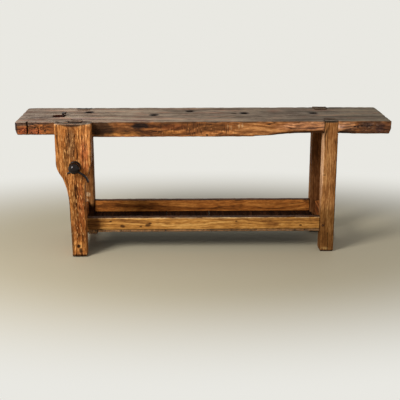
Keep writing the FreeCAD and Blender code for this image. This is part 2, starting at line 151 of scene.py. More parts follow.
def line_distance(points, route):
    """How far each point lies from a line of straight runs."""
    least = np.full(len(points), np.inf)
    for a, b in zip(route, route[1:]):
        start = np.array(a)
        run = np.array(b) - start
        share = np.clip((points - start) @ run / (run @ run), 0, 1)
        least = np.minimum(least, np.linalg.norm(points - start - share[:, None] * run, axis=1))
    return least


def refine(mesh, route, reach):
    """Splits the faces near a crack, so that it can be narrow."""
    shape = bmesh.new()
    shape.from_mesh(mesh)
    points = np.array([v.co for v in shape.verts])
    near = line_distance(points, route) < reach
    edges = [e for e in shape.edges if near[e.verts[0].index] and near[e.verts[1].index]]
    bmesh.ops.subdivide_edges(shape, edges=edges, cuts=2, use_grid_fill=True)
    shape.to_mesh(mesh)
    shape.free()
    mesh.shade_smooth()


def seam_share(points, node, body, reach):
    """How close each point lies to the neighbours on its body: 1 where it touches one, 0 out of reach."""
    share = np.zeros(len(points))
    for other in frame["record"]["behaviour"]["bodies"][body]:
        if other == node:
            continue
        low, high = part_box(other)
        inside = np.all((points > np.array(low) - reach) & (points < np.array(high) + reach), axis=1)
        if not inside.any():
            continue
        mesh = frame["nodes"][other].data
        tree = BVHTree.FromPolygons([v.co for v in mesh.vertices], [p.vertices for p in mesh.polygons])
        for index in np.flatnonzero(inside):
            distance = tree.find_nearest(Vector(points[index]), reach)[3]
            if distance is not None:
                share[index] = max(share[index], 1 - distance / reach)
    return share


def weather(node, body, slot, material, grain, voxel, soften, sway, chips, seed, cracks=()):
    """Puts a worn copy in a node's place: soft arrises, chips, an uneven face and cracks, all cut inwards.

    The mesh carries four shares for its finish: arris on worn edges, cavity in hollows, seam at its joints,
    and tilt from -1 on faces that look down to 1 on those that look up.
    """
    long_wave = 0.31
    cross_wave = 0.045
    fine_wave = 0.3
    fine_share = 0.35
    chip_wave = 0.026
    chip_floor = 1.5
    small_chips = 3.2
    large_chips = 3
    large_share = 0.6
    crack_wave = 0.012
    crack_least = 0.45
    crack_swing = 0.75
    crack_flat = 1.25
    seam_reach = 0.003
    crisp_reach = 0.009
    crisp_hold = 0.7
    loose = 0.5
    held = 0.45
    foot_rise = 0.004
    bend_gain = 9
    hollow_gain = 1.5
    refine_faces = 1.5
    piece = even_copy(node + "_timber", node, voxel)
    mesh = piece.data
    for route, width, crack_depth in cracks:
        refine(mesh, route, width + voxel * refine_faces)
    points, edges = mesh_arrays(mesh)
    crisp = seam_share(points, node, body, crisp_reach)
    give = (loose - held * np.clip(crisp * 2, 0, 1))[:, None]
    for turn in range(soften):
        points += (neighbour_mean(points, edges) - points) * give
    normals = set_points(mesh, points)

    def convexity():
        bend = np.sum((points - neighbour_mean(points, edges)) * normals, axis=1, keepdims=True) / voxel
        for turn in range(2):
            bend = neighbour_mean(bend, edges)
        return bend[:, 0] * bend_gain

    seam = seam_share(points, node, body, seam_reach)
    edge = np.clip(convexity(), 0, 1)
    wavelength = np.full(3, cross_wave)
    wavelength[grain] = long_wave
    depth = sway * waves(points, wavelength, seed)
    depth += sway * fine_share * waves(points, wavelength * fine_wave, seed + 1)
    depth *= 1 - crisp_hold * crisp
    small = waves(points, chip_wave, seed + 2)
    large = waves(points, chip_wave * 3, seed + 3)
    bite = np.clip(small * small_chips - chip_floor, 0, 1)
    bite += large_share * np.clip(large * large_chips - chip_floor, 0, 1)
    depth += chips * edge * bite * (1 - crisp)
    depth *= np.clip(points[:, 2] / foot_rise, 0, 1)
    crack = np.zeros(len(points))
    for route, width, crack_depth in cracks:
        ragged = width * (crack_least + crack_swing * waves(points, crack_wave, seed + 4))
        share = np.clip(crack_flat * (1 - line_distance(points, route) / ragged), 0, 1)
        crack = np.maximum(crack, share)
        depth = np.maximum(depth, crack_depth * share)
    points = points - normals * depth[:, None]
    normals = set_points(mesh, points)
    bend = convexity()
    hollow = np.maximum(-bend * hollow_gain, crack)
    for name, share in {
        "arris": np.clip(bend, 0, 1),
        "cavity": np.clip(hollow, 0, 1),
        "seam": seam,
        "tilt": normals[:, 2],
    }.items():
        values = share.astype(np.float32)
        mesh.attributes.new(name, "FLOAT", "POINT").data.foreach_set("value", values)
    dress(piece, material, body, slot, node)
    return piece


def dress(piece, material, body, slot, *nodes):
    """Gives a piece its finish, stands it in for its nodes and lets it move with its body."""
    piece.data.materials.append(material)
    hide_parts(*nodes)
    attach(piece, body)


def new_material(name):
    """A new material, its node tree and its shader."""
    material = bpy.data.materials.new(name)
    material.use_nodes = True
    return material, material.node_tree, material.node_tree.nodes["Principled BSDF"]


def add(tree, kind, inputs=None, **settings):
    """A shader node with its settings, each input linked to a socket or set to a value."""
    made = tree.nodes.new("ShaderNode" + kind)
    for name, value in settings.items():
        setattr(made, name, value)
    for name, value in (inputs or {}).items():
        if isinstance(value, bpy.types.NodeSocket):
            tree.links.new(value, made.inputs[name])
        else:
            made.inputs[name].default_value = value
    return made


def mesh_share(tree, name):
    """One of the shares that a worn mesh carries."""
    return add(tree, "Attribute", attribute_name=name).outputs["Fac"]


def tree_of(terms):
    """The node tree that holds the first socket among some terms."""
    return next(term.id_data for term in terms if isinstance(term, bpy.types.NodeSocket))


def sums(operation, *terms, clamp=False):
    """One step of arithmetic on numbers."""
    inputs = dict(enumerate(terms))
    return add(tree_of(terms), "Math", inputs, operation=operation, use_clamp=clamp).outputs[0]


def times(a, b):
    """The product of two numbers."""
    return sums("MULTIPLY", a, b)


def vectors(operation, *terms):
    """One step of arithmetic on vectors."""
    made = add(tree_of(terms), "VectorMath", dict(enumerate(terms)), operation=operation)
    return made.outputs["Value" if operation == "LENGTH" else "Vector"]


def speckle(vector, per_metre, detail=2, roughness=0.5):
    """Noise from 0 to 1 with so many cells a metre, the same each way or along X, Y and Z."""
    cells = per_metre if isinstance(per_metre, tuple) else (per_metre,) * 3
    scaled = vectors("MULTIPLY", vector, cells)
    inputs = {"Vector": scaled, "Scale": 1, "Detail": detail, "Roughness": roughness}
    return add(vector.id_data, "TexNoise", inputs).outputs["Fac"]


def between(value, low, high):
    """0 at low, 1 at high and a smooth rise between them."""
    inputs = {"Value": value, "From Min": low, "From Max": high}
    return add(value.id_data, "MapRange", inputs, interpolation_type="SMOOTHSTEP").outputs["Result"]


def weighed(total, *parts):
    """Adds masks to a total, each counted from its own middle and times its weight."""
    for mask, middle, weight in parts:
        total = sums("MULTIPLY_ADD", sums("SUBTRACT", mask, middle), weight, total)
    return total


def layer(share, under, over, blend="MIX"):
    """One colour laid over another."""
    made = add(share.id_data, "Mix", {0: share, 6: under, 7: over}, data_type="RGBA", blend_type=blend)
    return made.outputs[2]


def effect(name, takes, gives):
    """A node group that takes named sockets and gives named masks: its tree and both sides."""
    group = bpy.data.node_groups.new(name, "ShaderNodeTree")
    for side, sockets in (("INPUT", takes), ("OUTPUT", dict.fromkeys(gives, "Float"))):
        for socket, kind in sockets.items():
            group.interface.new_socket(socket, in_out=side, socket_type="NodeSocket" + kind)
    return group, group.nodes.new("NodeGroupInput").outputs, group.nodes.new("NodeGroupOutput").inputs


# Growth rings about a wandering pith, streaks, flecks, fibres, open pores and drying checks, for a vector
# whose X runs with the grain. Cells are counted to the metre, along the grain and across it.
wander_cells = (2.2, 9, 9)
streak_cells = (1.6, 42, 42)
fleck_cells = (26, 125, 125)
fibre_cells = (11, 430, 430)
pore_cells = (42, 820, 820)
check_cells = (1.3, 26, 26)
check_regions = (1.7, 8, 8)
across_grain = (0, 1, 1)
late_rise = (0.25, 0.85)
late_fall = (1, 0.9)
year_strength = (0.65, 0.35)
pore_edge = (0.6, 0.68)
check_width = (0.014, 0.003)
check_edge = (0.53, 0.6)
noise_middle = (0.5, 0.5, 0.5)
wood_figure, takes, gives = effect(
    "wood_figure",
    {"Vector": "Vector", "Pith": "Vector", "Ring Width": "Float", "Wave": "Float"},
    ("Rings", "Streaks", "Flecks", "Fibres", "Pores", "Checks"),
)
tree = wood_figure
scaled = vectors("MULTIPLY", takes["Vector"], wander_cells)
wander = add(tree, "TexNoise", {"Vector": scaled, "Scale": 1, "Detail": 3}).outputs["Color"]
swing = vectors("MULTIPLY", vectors("SUBTRACT", wander, noise_middle), takes["Wave"])
bent = vectors("ADD", takes["Vector"], swing)
across = vectors("MULTIPLY", vectors("SUBTRACT", bent, takes["Pith"]), across_grain)
count = sums("DIVIDE", vectors("LENGTH", across), takes["Ring Width"])
season = sums("FRACT", count)
ring = times(between(season, *late_rise), between(season, *late_fall))
year = add(tree, "TexWhiteNoise", {"W": sums("FLOOR", count)}, noise_dimensions="1D").outputs["Value"]
ring = times(ring, sums("MULTIPLY_ADD", year, *year_strength))
check_line = sums("ABSOLUTE", sums("SUBTRACT", speckle(bent, check_cells, 1), 0.5))
check_place = between(speckle(bent, check_regions, 1), *check_edge)
for output, mask in {
    "Rings": ring,
    "Streaks": speckle(bent, streak_cells, 3, 0.6),
    "Flecks": speckle(bent, fleck_cells, 3, 0.6),
    "Fibres": speckle(bent, fibre_cells),
    "Pores": between(speckle(bent, pore_cells, 1), *pore_edge),
    "Checks": times(between(check_line, *check_width), check_place),
}.items():
    tree.links.new(mask, gives[output])

# Years of use: dirt in hollows and joints, arrises rubbed pale or dark, uneven stain and worm holes
patch_cells = 34
crumb_cells = 150
hand_cells = 8
stain_cells = 4.5
worm_cells = 38
worm_regions = 3
patch_edge = (0.35, 0.62)
crumb_edge = (0.2, 0.6)
hand_edge = (0.4, 0.56)
worm_size = (0.055, 0.035)
worm_edge = (0.5, 0.6)
old_surface, takes, gives = effect(
    "old_surface",
    {"Vector": "Vector"},
    ("Dirt", "Rubbed", "Handled", "Stain", "Holes"),
)
tree = old_surface
place = takes["Vector"]
cavity, arris, seam = (mesh_share(tree, name) for name in ("cavity", "arris", "seam"))
patches = speckle(place, patch_cells, 4, 0.6)
crumbs = speckle(place, crumb_cells, 3, 0.6)
hands = speckle(place, hand_cells, 3)
hollow = sums("MAXIMUM", cavity, seam)
bare = times(arris, between(patches, *patch_edge))
worm = add(tree, "TexVoronoi", {"Vector": place, "Scale": worm_cells}).outputs["Distance"]
worm_place = between(speckle(place, worm_regions, 1), *worm_edge)
for output, mask in {
    "Dirt": times(hollow, between(crumbs, *crumb_edge)),
    "Rubbed": times(bare, sums("SUBTRACT", 1, seam, clamp=True)),
    "Handled": times(arris, between(hands, *hand_edge)),
    "Stain": speckle(place, stain_cells, 3, 0.55),
    "Holes": times(between(worm, *worm_size), worm_place),
}.items():
    tree.links.new(mask, gives[output])

# One ragged spot: a knot, a stain, a scorch or a worn place
tatter_cells = 30
spot_edge = (1.05, 0.5)
ragged_spot, takes, gives = effect(
    "ragged_spot",
    {"Vector": "Vector", "Centre": "Vector", "Radii": "Vector", "Ragged": "Float"},
    ("Spot",),
)
tree = ragged_spot
place = takes["Vector"]
tatter = add(tree, "TexNoise", {"Vector": place, "Scale": tatter_cells, "Detail": 4}).outputs["Color"]
tatter = vectors("MULTIPLY", vectors("SUBTRACT", tatter, noise_middle), takes["Ragged"])
offset = vectors("DIVIDE", vectors("SUBTRACT", place, takes["Centre"]), takes["Radii"])
offset = vectors("LENGTH", vectors("ADD", offset, tatter))
tree.links.new(between(offset, *spot_edge), gives["Spot"])


def start_timber(name, grain, start, pith, ring, wave, pale, brown, dark, figure=(0.42, 0.5, 0.62, 0.3)):
    """The colour of one kind of old timber, before its own marks are laid on.

    The figure is how much rings, streaks, flecks and fibres darken it.
    """
    turns = {along_x: (0, 0, 0), along_y: (0, 0, -math.pi / 2), along_z: (0, math.pi / 2, 0)}
    grown_shift = (0, 0.0275, 0)
    palest = 0.16
    brown_stop = 0.45
    pore_strength = 0.45
    rubbed_strength = 0.5
    ring_share, streak_share, fleck_share, fibre_share = figure
    material, tree, shader = new_material(name)
    place = add(tree, "TexCoord").outputs["Object"]
    grown = vectors("ADD", place, grown_shift)
    inputs = {"Vector": grown, "Location": start, "Rotation": turns[grain]}
    along = add(tree, "Mapping", inputs).outputs["Vector"]
    inputs = {"Vector": along, "Pith": pith, "Ring Width": ring, "Wave": wave}
    wood = add(tree, "Group", inputs, node_tree=wood_figure).outputs
    age = add(tree, "Group", {"Vector": grown}, node_tree=old_surface).outputs
    tone = weighed(
        times(wood["Rings"], ring_share),
        (wood["Streaks"], 0.42, streak_share * 3),
        (wood["Flecks"], 0.45, fleck_share * 2.2),
        (wood["Fibres"], 0.45, fibre_share * 1.6),
        (age["Stain"], 0.42, 0.9),
    )
    shades = add(tree, "ValToRGB", {"Fac": sums("ADD", tone, palest, clamp=True)})
    stops = shades.color_ramp.elements
    stops[0].color = colour(pale)
    stops[1].color = colour(dark)
    stops.new(brown_stop).color = colour(brown)
    coat = shades.outputs["Color"]
    coat = layer(times(wood["Pores"], pore_strength), coat, colour(dark))
    coat = layer(times(age["Rubbed"], rubbed_strength), coat, colour(pale))
    return SimpleNamespace(
        material=material, tree=tree, shader=shader, place=place, grown=grown, wood=wood, age=age, coat=coat,
        brown=brown, pits=None,
    )


def spot_on(timber, centre, radii, ragged):
    """Where a ragged spot lies on a timber."""
    inputs = {"Vector": timber.place, "Centre": centre, "Radii": radii, "Ragged": ragged}
    return add(timber.tree, "Group", inputs, node_tree=ragged_spot).outputs["Spot"]


def stain(timber, centre, radii, shade, strength, ragged, sunk=False, over=None):
    """Lays a ragged spot on a timber: a tint that keeps the grain, or a dark pit where it is sunk."""
    spot = spot_on(timber, centre, radii, ragged)
    share = times(spot, strength)
    if sunk:
        timber.coat = layer(share, timber.coat, colour(shade))
        timber.pits = spot if timber.pits is None else sums("MAXIMUM", timber.pits, spot)
    else:
        tint = [new / old for new, old in zip(colour(shade), colour(over or timber.brown))]
        timber.coat = layer(share, timber.coat, tint, "MULTIPLY")


def marks(timber, rows):
    """Lays many spots: rows of middle, reach each way, shade, strength, raggedness and whether sunk."""
    for row in rows:
        stain(timber, *row)


def grey(timber, shades, low, high):
    """Greys the faces that look up, in shades from left to right along X, with lines of grain."""
    ragged_cells = 60
    band_cells = (2.4, 14, 14)
    blush_cells = (7, 24, 24)
    up_edge = (0.85, 1.1)
    dark_edge = (0, 0.95)
    pale_edge = (0, -0.9)
    blush_edge = (0.52, 0.68)
    dark_line = (0.34, 0.29, 0.25, 1)
    pale_line = (1.62, 1.58, 1.5, 1)
    blush_tint = (1.1, 0.86, 0.8, 1)
    tree = timber.tree
    tilt = mesh_share(tree, "tilt")
    ragged = speckle(timber.place, ragged_cells, 3)
    share = between(sums("MULTIPLY_ADD", ragged, 0.5, tilt), *up_edge)
    x = add(tree, "SeparateXYZ", {"Vector": timber.place}).outputs["X"]
    run = add(tree, "MapRange", {"Value": x, "From Min": low, "From Max": high}).outputs["Result"]
    ramp = add(tree, "ValToRGB", {"Fac": run})
    stops = ramp.color_ramp.elements
    stops[0].color = colour(shades[0])
    stops[1].color = colour(shades[-1])
    for number, shade in enumerate(shades[1:-1], 1):
        stops.new(number / (len(shades) - 1)).color = colour(shade)
    lines = weighed(
        0,
        (timber.wood["Streaks"], 0.47, 3.6),
        (timber.wood["Flecks"], 0.47, 2.6),
        (timber.age["Stain"], 0.45, 1.8),
        (speckle(timber.grown, band_cells), 0.5, 3),
    )
    blush = between(speckle(timber.grown, blush_cells), *blush_edge)
    worn = layer(between(lines, *dark_edge), ramp.outputs["Color"], dark_line, "MULTIPLY")
    worn = layer(between(lines, *pale_edge), worn, pale_line, "MULTIPLY")
    worn = layer(blush, worn, blush_tint, "MULTIPLY")
    timber.coat = layer(share, timber.coat, worn)


def finish_timber(timber, roughness, shine=0.2):
    """Lays on painted shade under faces that look down, the dirt, cracks and worm holes, and joins colour,
    gloss and relief to the shader.
    """
    # One dark colour for dirt and for the painted shade on faces that look down
    dirt_and_shade = colour((30, 19, 12))
    hand_tint = (0.3, 0.23, 0.18, 1)
    shaded_under_edge = (-0.15, -0.7)
    fibre_gloss = 0.22
    dirt_gloss = 0.3
    relief = 0.5
    relief_depth = 0.0016
    tree = timber.tree
    wood = timber.wood
    age = timber.age
    crack = sums("MAXIMUM", wood["Checks"], age["Holes"])
    tilt = mesh_share(tree, "tilt")
    coat = timber.coat
    # Painted shade on faces that look down, hand marks on arrises, dirt in hollows, and cracks
    for mask, strength, shade, blend in (
        (between(tilt, *shaded_under_edge), 0.6, dirt_and_shade, "MIX"),
        (age["Handled"], 0.6, hand_tint, "MULTIPLY"),
        (age["Dirt"], 0.8, dirt_and_shade, "MIX"),
        (crack, 0.85, dirt_and_shade, "MIX"),
    ):
        coat = layer(times(mask, strength), coat, shade, blend)
    shader = timber.shader
    tree.links.new(coat, shader.inputs["Base Color"])
    gloss = sums("MULTIPLY_ADD", wood["Fibres"], fibre_gloss, roughness)
    gloss = sums("MULTIPLY_ADD", age["Dirt"], dirt_gloss, gloss, clamp=True)
    tree.links.new(gloss, shader.inputs["Roughness"])
    reliefs = [(wood["Fibres"], 0.5), (wood["Rings"], -0.25), (wood["Pores"], -0.35), (crack, -1.5)]
    if timber.pits is not None:
        reliefs.append((timber.pits, -1.5))
    height = 0
    for mask, rise in reliefs:
        height = sums("MULTIPLY_ADD", mask, rise, height)
    bump = add(tree, "Bump", {"Height": height, "Strength": relief, "Distance": relief_depth})
    tree.links.new(bump.outputs["Normal"], shader.inputs["Normal"])
    shader.inputs["Specular IOR Level"].default_value = shine


front_right_low, front_right_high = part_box("front_right_leg")
rear_left_low, rear_left_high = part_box("rear_left_leg")
leg_front = front_right_low.y
leg_back = rear_left_high.y
rear_front = rear_left_low.y
leg_end = front_right_high.z
leg_middle = (front_right_low.x + front_right_high.x) / 2
rear_left_middle = (rear_left_low.x + rear_left_high.x) / 2
front_left_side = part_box("front_left_leg")[1].x
leg_timber = start_timber(
    "leg_timber", along_z, start=(0.3, 0.11, 0.05), pith=(0, 0.05, 0.4), ring=0.011, wave=0.05,
    pale=(216, 158, 98), brown=(160, 104, 56), dark=(70, 38, 19), figure=(0.34, 0.3, 0.5, 0.3),
)
marks(leg_timber, [
    # The front right leg is darker low down, and both rear legs are darker and redder as painted shade under
    # the plank
    ((leg_middle, leg_front, 0.13), (0.2, 0.1, 0.2), (106, 68, 30), 0.7, 0.5),
    ((leg_middle, rear_front, 0.35), (0.2, 0.06, 0.6), (98, 56, 28), 0.85, 0.5),
    ((-0.742, rear_front, 0.6), (0.12, 0.09, 0.34), (106, 58, 26), 0.8, 0.5),
])
end_shades = dict.fromkeys(legs, (78, 62, 50))
end_shades["rear_right_leg"] = (112, 86, 64)
for node in legs:
    low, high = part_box(node)
    middle = (low + high) / 2
    marks(leg_timber, [
        # A grey end and a dirty foot
        ((middle.x, middle.y, high.z), (0.12, 0.12, 0.014), end_shades[node], 0.95, 0.3),
        ((middle.x, middle.y, 0), (0.14, 0.14, 0.012), (34, 21, 12), 0.9, 0.5),
    ])
# The ends' worn grey is paler towards the left, partly as painted light from the left like the plank's
grey(leg_timber, [(138, 118, 98), (104, 90, 74)], -half_length, half_length)
marks(leg_timber, [
    # Front right leg: a pale left side as a painted highlight from the light on the left, and a dark right
    # arris as painted shade
    ((front_right_low.x, leg_front + 0.04, 0.58), (0.01, 0.09, 0.34), (228, 174, 128), 0.6, 0.5),
    ((front_right_high.x, leg_front, 0.45), (0.007, 0.05, 0.6), (74, 40, 22), 0.8, 0.5),
    # Rear left leg: a blackened end
    ((rear_left_middle, leg_back - 0.02, leg_end), (0.11, 0.06, 0.02), (54, 41, 32), 0.85, 0.5, True),
    # Front left leg: darker low down beside the chop as the chop's painted shadow, and a darker, redder right
    # side as painted shade
    ((-0.69, leg_front, 0.1), (0.06, 0.03, 0.24), (70, 42, 22), 0.85, 0.5),
    ((front_left_side, leg_front + 0.06, 0.5), (0.012, 0.14, 0.6), (148, 82, 36), 0.85, 0.4),
    # Front right leg: a bruised foot and a nick halfway up
    ((leg_middle - 0.01, leg_front, 0.022), (0.03, 0.01, 0.011), (226, 170, 106), 0.8, 1.3),
    ((leg_middle - 0.03, leg_front, 0.48), (0.012, 0.02, 0.004), (52, 28, 15), 0.8, 0.8, True),
    # Rear left leg: two pale spots, and painted shadow low down over the stretcher
    ((-0.734, rear_front, 0.262), (0.022, 0.02, 0.018), (232, 190, 142), 0.75, 0.9),
    ((-0.742, rear_front, 0.222), (0.016, 0.02, 0.012), (208, 160, 112), 0.6, 0.9),
    ((-0.724, rear_front, 0.15), (0.09, 0.03, 0.06), (48, 26, 12), 0.9, 0.7),
    # Dirt in the front edges of both front legs' ends
    ((leg_middle, leg_front, leg_end), (0.046, 0.016, 0.01), (36, 26, 19), 0.9, 0.3, True),
    ((-0.7505, leg_front, leg_end), (0.06, 0.03, 0.02), (46, 32, 24), 0.9, 0.3, True),
])
finish_timber(leg_timber, roughness=0.5, shine=0.02)

# Cracks: face, points across and up, width and depth
leg_cracks = {
    "front_right_leg": (leg_front, ((0.752, 0), (0.755, 0.05), (0.751, 0.12)), 0.004, 0.006),
    "rear_left_leg": (leg_back, ((-0.735, 0.8), (-0.731, 0.6), (-0.737, 0.43)), 0.0045, 0.008),
    "rear_right_leg": (leg_back, ((0.74, 0), (0.744, 0.14), (0.739, 0.3)), 0.0045, 0.008),
}
for number, node in enumerate(legs):
    cracks = []
    if node in leg_cracks:
        face, route, width, depth = leg_cracks[node]
        cracks.append(([(x, face, z) for x, z in route], width, depth))
    weather(node, "bench", "leg_timber", leg_timber.material, along_z,
            voxel=0.0035, soften=3, sway=0.0016, chips=0.003, seed=number * seed_gap, cracks=cracks)


# Stretchers and end rails
# Square rails low down between the legs, tenoned into them. The front one is honey coloured with small dark
# knots, and the rear one and the ends are a redder brown.
half_span = 0.8
rail_growth = {"pith": (0, 0.05, 0.3), "ring": 0.012, "wave": 0.05}
knot_shade = (58, 30, 14)
knot_stretch = 1.8
knot_depth = 0.02
stretcher_low, stretcher_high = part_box("front_stretcher")
stretcher_front = stretcher_low.y
honey_timber = start_timber(
    "honey_timber", along_x, start=(0.4, 0.2, 0.1), **rail_growth,
    pale=(236, 182, 104), brown=(194, 134, 64), dark=(104, 60, 26), figure=(0.34, 0.3, 0.5, 0.3),
)
# Knots: across, up and radius
knots = [
    (-0.562, 0.192, 0.006), (-0.49, 0.16, 0.012), (-0.38, 0.159, 0.006), (-0.337, 0.166, 0.011),
    (-0.325, 0.178, 0.007), (0.198, 0.189, 0.005), (0.59, 0.162, 0.007),
]
marks(honey_timber, [
    ((x, stretcher_front, z), (radius * knot_stretch, knot_depth, radius), knot_shade, 0.85, 0.8, True)
    for x, z, radius in knots
])
marks(honey_timber, [
    # A brown patch on the right, and the end beside the vise darkened as the chop's painted shadow
    ((0.418, stretcher_front, 0.172), (0.05, 0.03, 0.022), (118, 66, 30), 0.6, 0.8),
    ((-0.665, stretcher_front, 0.17), (0.06, 0.05, 0.06), (92, 52, 20), 0.85, 0.8),
])
# The upper face is darkened: dirt, and painted shade under the plank
grey(honey_timber, [(84, 52, 24), (78, 48, 22)], -half_span, half_span)
# The upper arris, rubbed pale by feet
stain(honey_timber, (0, stretcher_front, stretcher_high.z), (2, 0.009, 0.008), (250, 206, 144), 0.7, 0.4)
finish_timber(honey_timber, roughness=0.5, shine=0.08)
russet_timber = start_timber(
    "russet_timber", along_x, start=(1.2, 0.7, 0.3), **rail_growth,
    pale=(230, 150, 70), brown=(180, 106, 44), dark=(78, 40, 16), figure=(0.34, 0.34, 0.5, 0.3),
)
# The upper face is darkened: dirt, and painted shade under the plank
grey(russet_timber, [(92, 56, 26), (86, 52, 24)], -half_span, half_span)
finish_timber(russet_timber, roughness=0.5, shine=0.08)
end_rail_timber = start_timber(
    "end_rail_timber", along_y, start=(0.2, 1, 0.3), **rail_growth,
    pale=(206, 128, 64), brown=(152, 86, 40), dark=(62, 31, 14),
)
finish_timber(end_rail_timber, roughness=0.5, shine=0.06)
rails = (
    ("front_stretcher", along_x, honey_timber),
    ("rear_stretcher", along_x, russet_timber),
    ("left_end_rail", along_y, end_rail_timber),
    ("right_end_rail", along_y, end_rail_timber),
)
for number, (node, grain, timber) in enumerate(rails):
    weather(node, "bench", "stretcher_timber", timber.material, grain,
            voxel=0.0042, soften=3, sway=0.0018, chips=0.0035, seed=40 + number * seed_gap)


# Draw pegs
# Whittled pegs of dark hardwood, driven through the legs and the tenons and cut off at the leg's face.
peg_timber = start_timber(
    "peg_timber", along_y, start=(0.1, 0.3, 0.2), pith=(0, 0.02, 0.02), ring=0.004, wave=0.01,
    pale=(128, 80, 42), brown=(84, 48, 24), dark=(36, 20, 11),
)
finish_timber(peg_timber, roughness=0.5)
weather("stretcher_pegs", "bench", "peg_timber", peg_timber.material, along_y,
        voxel=0.0016, soften=1, sway=0.0003, chips=0.0006, seed=80)


# Shelf
# Six thin boards and a thicker batten, laid across under the stretchers and nailed up into them. They are
# nearly black on top, with dirt and with painted shade under the plank, and their sawn front ends are paler.
boards = ["shelf_batten"] + ["shelf_board_%d" % number for number in range(1, 7)]
shelf_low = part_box("shelf_board_3")[0]
# Its dark shades are dirt and painted shade under the plank
shelf_timber = start_timber(
    "shelf_timber", along_y, start=(0.2, 0.5, 0.9), pith=(0, 0.05, 0.6), ring=0.014, wave=0.06,
    pale=(70, 42, 24), brown=(42, 24, 14), dark=(20, 12, 8),
)
# The front ends of all the boards
stain(shelf_timber, (0.1, shelf_low.y, shelf_low.z), (2, 0.012, 0.04), (150, 112, 78), 0.8, 0.5)
finish_timber(shelf_timber, roughness=0.6, shine=0.02)
for number, node in enumerate(boards):
    weather(node, "bench", "shelf_timber", shelf_timber.material, along_y,
            voxel=0.0046, soften=0, sway=0.0004, chips=0.001, seed=90 + number * seed_gap)


# Nails of the shelf
# Square cut nails of rusty iron with hammered heads, driven up from below.
def start_iron(name, black, brown, roughness, bare):
    """Hand-forged iron, black and waxed, with brown rust in its hollows and hammer marks all over."""
    scale_cells = 90
    rust_cells = 35
    rust_fade = 0.18
    rust_gloss = 0.25
    scale_gloss = 0.16
    bare_metal = 0.25
    rust_metal = -0.2
    shine = 0.3
    hammer_relief = 0.14
    hammer_depth = 0.001
    material, tree, shader = new_material(name)
    place = add(tree, "TexCoord").outputs["Object"]
    scale = speckle(place, scale_cells, 4, 0.6)
    rust = between(speckle(place, rust_cells, 5, 0.65), bare, bare + rust_fade)
    cavity = mesh_share(tree, "cavity")
    rust = sums("MAXIMUM", rust, cavity)
    tree.links.new(layer(rust, colour(black), colour(brown)), shader.inputs["Base Color"])
    tree.links.new(sums("MULTIPLY_ADD", rust, rust_metal, bare_metal), shader.inputs["Metallic"])
    gloss = sums("MULTIPLY_ADD", scale, scale_gloss, roughness)
    gloss = sums("MULTIPLY_ADD", rust, rust_gloss, gloss)
    tree.links.new(gloss, shader.inputs["Roughness"])
    shader.inputs["Specular IOR Level"].default_value = shine
    bump = add(tree, "Bump", {"Height": scale, "Strength": hammer_relief, "Distance": hammer_depth})
    tree.links.new(bump.outputs["Normal"], shader.inputs["Normal"])
    return material


def show_node(node, material):
    """Leaves a node's own shape in view, with a better finish."""
    slots = frame["nodes"][node].data.materials
    slots.clear()
    slots.append(material)


rusty_iron = start_iron("rusty_iron", black=(44, 36, 32), brown=(72, 46, 31), roughness=0.4, bare=0.5)
show_node("shelf_nails", rusty_iron)


# Plank top
# One thick slab of hardwood. The upper face is grey from work and wax, the front is orange brown with
# stains, knots and tool marks, and the left end is split and chipped.
def scatter(timber, centre, radii, per_metre, edge, shade, strength):
    """Many small marks in one region: strokes of a tool, pits or chips."""
    region_ragged = 0.8
    mark_fade = 0.07
    region = spot_on(timber, centre, radii, region_ragged)
    strokes = between(speckle(timber.grown, per_metre, 1), edge, edge + mark_fade)
    share = times(times(region, strokes), strength)
    timber.coat = layer(share, timber.coat, colour(shade))


top_low, top_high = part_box("bench_top")
top_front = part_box("front_left_leg")[0].y
top_face = top_high.z
top_timber = start_timber(
    "top_timber", along_x, start=(0.7, 0, 0), pith=(0, 0.1, 0.62), ring=0.013, wave=0.06,
    pale=(216, 146, 86), brown=(152, 92, 47), dark=(58, 31, 16),
)
